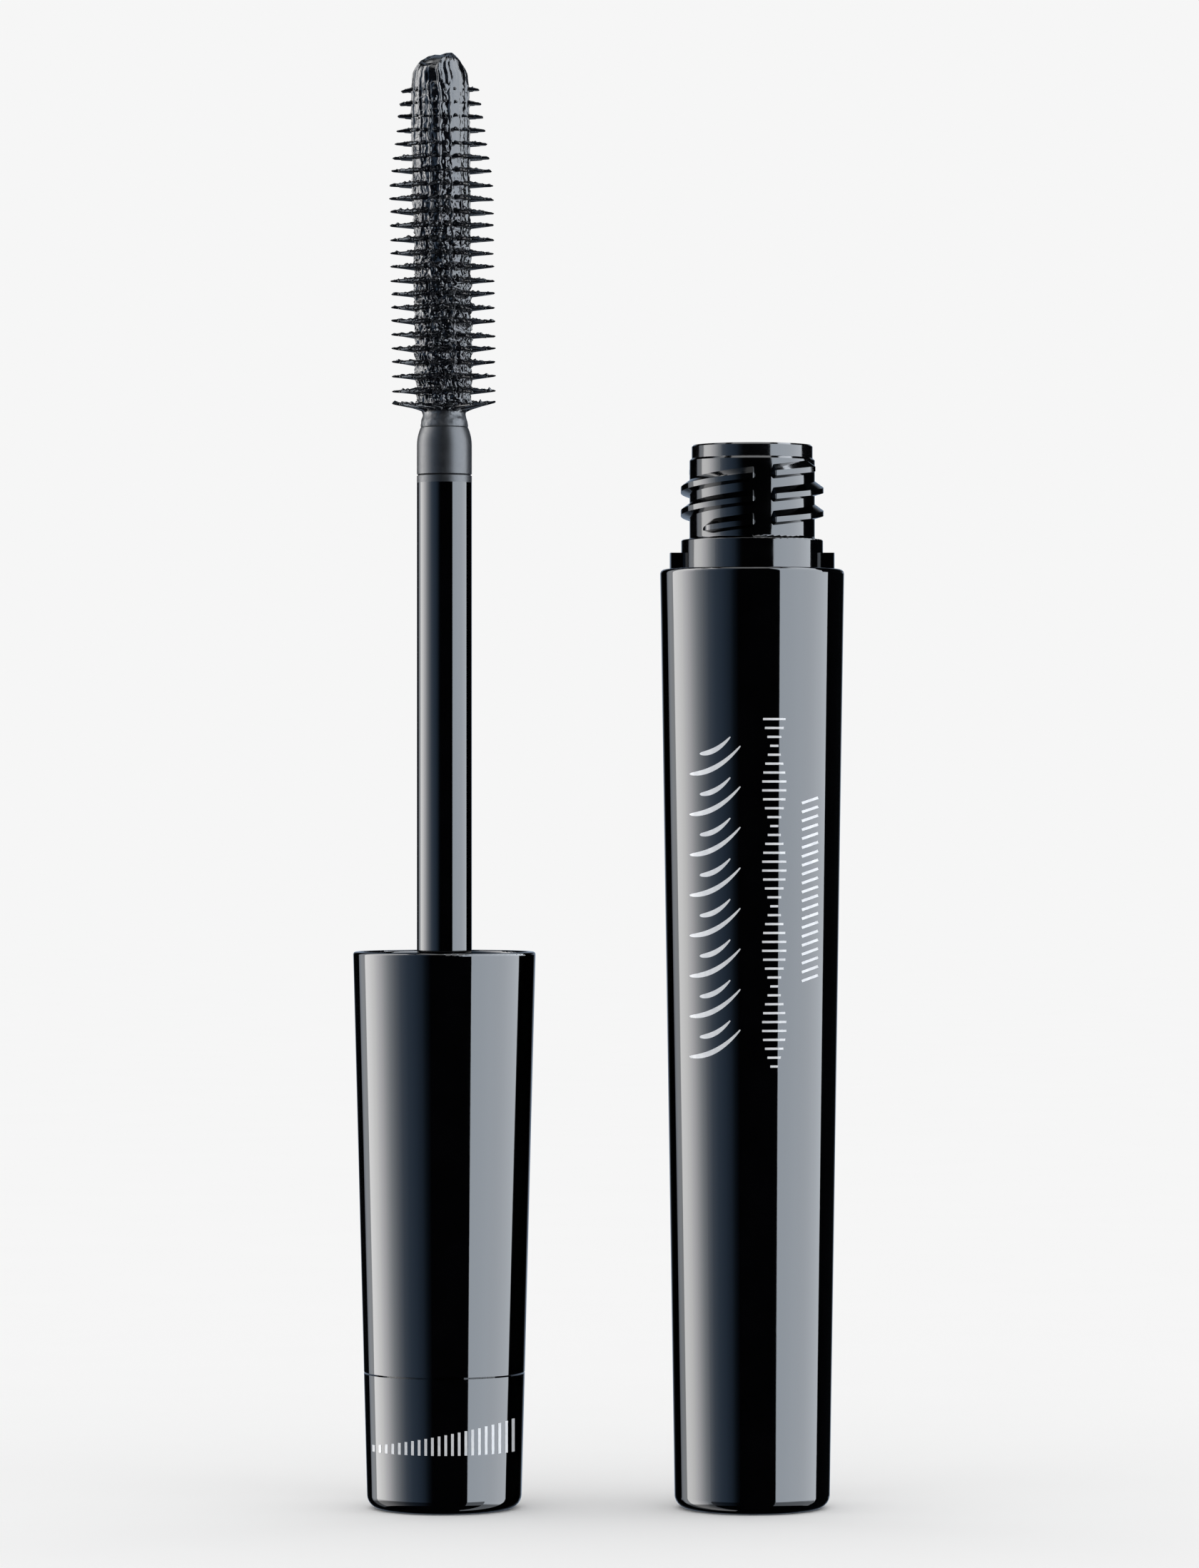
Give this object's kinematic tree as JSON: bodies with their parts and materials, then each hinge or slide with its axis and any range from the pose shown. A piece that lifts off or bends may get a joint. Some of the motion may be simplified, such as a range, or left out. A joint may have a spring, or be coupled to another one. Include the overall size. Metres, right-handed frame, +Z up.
{
  "type": "mascara tube",
  "caption": "Glossy tapered mascara tube taken apart: open threaded bottle beside its cap with twist knob, stem and bristled brush.",
  "frame": {"origin": "centre of the bottle's base, where it stands", "axes": "+Z up along the bottle; the applicator stands beside it towards -X; -Y is the front"},
  "size_m": [0.0447, 0.0168, 0.1323],
  "materials": {
    "shell_gloss": "piano gloss",
    "vial_gloss": "gloss, moulded",
    "wiper_soft": "satin gloss, soft polymer",
    "paste": "wet, glossy",
    "label": "coated, blank",
    "insert_plastic": "satin",
    "liner": "foamed, matte",
    "seal_rubber": "matte",
    "mechanism": "natural acetal",
    "ferrule_matte": "fine matte",
    "brush_rubber": "moulded elastomer",
    "spring_steel": "bright"
  },
  "bodies": {
    "bottle": {"bottle_shell": "shell_gloss", "inner_vial": "vial_gloss", "wiper": "wiper_soft", "mascara_paste": "paste", "base_label": "label"},
    "applicator": {"cap_shell": "shell_gloss", "cap_insert": "insert_plastic", "cap_liner": "liner", "stem": "vial_gloss", "guide_tube": "mechanism", "friction_ring": "seal_rubber", "stem_seal": "seal_rubber", "ferrule": "ferrule_matte", "brush_sleeve": "brush_rubber"},
    "knob": {"twist_knob": "shell_gloss", "cam_barrel": "mechanism", "retainer_ring": "spring_steel"},
    "puller": {"follower": "mechanism", "cross_pin": "spring_steel", "pull_rod": "mechanism", "tip_anchor": "mechanism"}
  },
  "joints": [
    {"name": "applicator_lift", "type": "slide", "parent": "bottle", "child": "applicator", "axis": [0, 0, 1], "range_m": [0, 0.1]},
    {"name": "knob_twist", "type": "hinge", "parent": "applicator", "child": "knob", "pos_m": [-0.028, 0, 0], "axis": [0, 0, 1], "range_deg": [0, 180]},
    {"name": "brush_shorten", "type": "slide", "parent": "applicator", "child": "puller", "axis": [0, 0, -1], "range_m": [0, 0.006], "deforming": ["brush_sleeve"]}
  ],
  "couplings": [
    {"joint": "brush_shorten", "follows": "knob_twist", "m_per_rad": 0.0019098}
  ]
}
